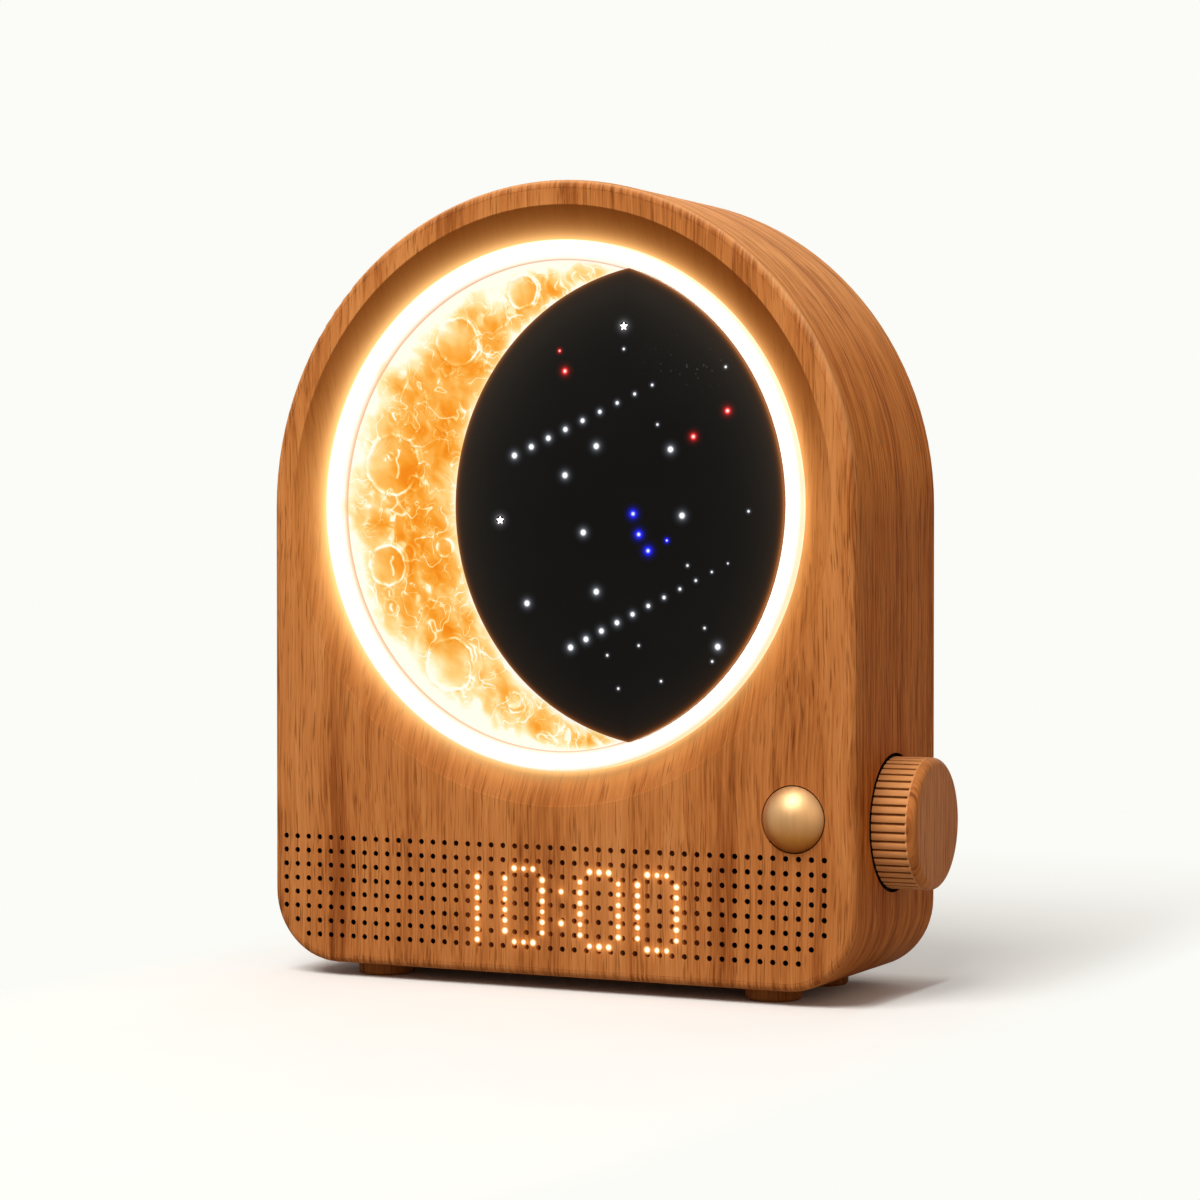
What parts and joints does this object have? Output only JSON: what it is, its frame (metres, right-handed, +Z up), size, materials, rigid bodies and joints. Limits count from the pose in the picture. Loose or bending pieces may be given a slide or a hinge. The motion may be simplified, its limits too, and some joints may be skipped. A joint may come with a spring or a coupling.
{
  "type": "sunrise alarm clock",
  "caption": "Arched wooden sunrise alarm clock with a light ring, crescent moon lamp, star panel, dot display behind a drilled grille, brass button and fluted side knob.",
  "frame": {"origin": "centre of the part's bounding box on the surface it stands on", "axes": "+Z up, front faces -Y, knob on the +X side"},
  "size_m": [0.171, 0.0596, 0.1995],
  "materials": {
    "case_wood": "oiled satin",
    "front_wood": "oiled satin",
    "knob_wood": "turned, oiled satin",
    "foot_wood": "turned, oiled satin",
    "block_wood": "raw",
    "ring_white": "milky diffuser",
    "moon_resin": "translucent relief",
    "star_black": "satin black",
    "star_white": "clear light pin",
    "star_red": "tinted light pin",
    "star_blue": "tinted light pin",
    "button_brass": "satin brass",
    "housing_white": "moulded white",
    "board_green": "circuit board",
    "led_cream": "light chip",
    "black_plastic": "moulded black",
    "plunger_white": "moulded",
    "ribbon_grey": "flat cable",
    "lead_red": "lead covering",
    "speaker_steel": "pressed steel",
    "cone_paper": "pressed paper",
    "magnet_steel": "plated",
    "spring_steel": "wire",
    "shaft_steel": "turned",
    "pillar_brass": "turned hexagon",
    "screw_steel": "zinc plated",
    "screw_dark": "blackened"
  },
  "bodies": {
    "clock_body": {"case_band": "case_wood", "back_panel": "case_wood", "front_panel": "front_wood", "foot_front_left": "foot_wood", "foot_front_right": "foot_wood", "foot_rear_left": "foot_wood", "foot_rear_right": "foot_wood", "back_cleats": "block_wood", "ring_diffuser": "ring_white", "moon_disc": "moon_resin", "star_panel": "star_black", "star_pins_white": "star_white", "star_pins_red": "star_red", "star_pins_blue": "star_blue", "lamp_housing": "housing_white", "board_sockets": "housing_white", "ring_light_board": "board_green", "moon_light_board": "board_green", "star_light_board": "board_green", "display_board": "board_green", "control_board": "board_green", "main_board": "board_green", "ring_leds": "led_cream", "moon_leds": "led_cream", "star_leds": "led_cream", "display_leds": "led_cream", "display_baffle": "black_plastic", "button_guide": "black_plastic", "switch_body": "black_plastic", "encoder_body": "black_plastic", "processor": "black_plastic", "cell_holder": "black_plastic", "lamp_ribbon": "ribbon_grey", "display_ribbon": "ribbon_grey", "speaker_leads": "lead_red", "left_speaker_frame": "speaker_steel", "right_speaker_frame": "speaker_steel", "left_speaker_cone": "cone_paper", "right_speaker_cone": "cone_paper", "left_speaker_magnet": "magnet_steel", "right_speaker_magnet": "magnet_steel", "backup_cell": "magnet_steel", "button_spring": "spring_steel", "encoder_bush": "shaft_steel", "encoder_nut": "shaft_steel", "usb_c_socket": "shaft_steel", "board_pillars": "pillar_brass", "lamp_screws": "screw_steel", "display_screws": "screw_steel", "control_screws": "screw_steel", "board_screws": "screw_steel", "back_screws": "screw_dark", "foot_screws": "screw_dark"},
    "knob": {"knob": "knob_wood", "encoder_shaft": "shaft_steel"},
    "button": {"button_dome": "button_brass", "switch_plunger": "plunger_white"}
  },
  "joints": [
    {"name": "knob_turn", "type": "hinge", "parent": "clock_body", "child": "knob", "pos_m": [0.0745, 0.0008, 0.0427], "axis": [1, 0, 0], "continuous": true},
    {"name": "button_press", "type": "slide", "parent": "clock_body", "child": "button", "axis": [0, 1, 0], "range_m": [0, 0.001], "stiffness_N_per_m": 1500, "deforming": ["button_spring"]}
  ]
}
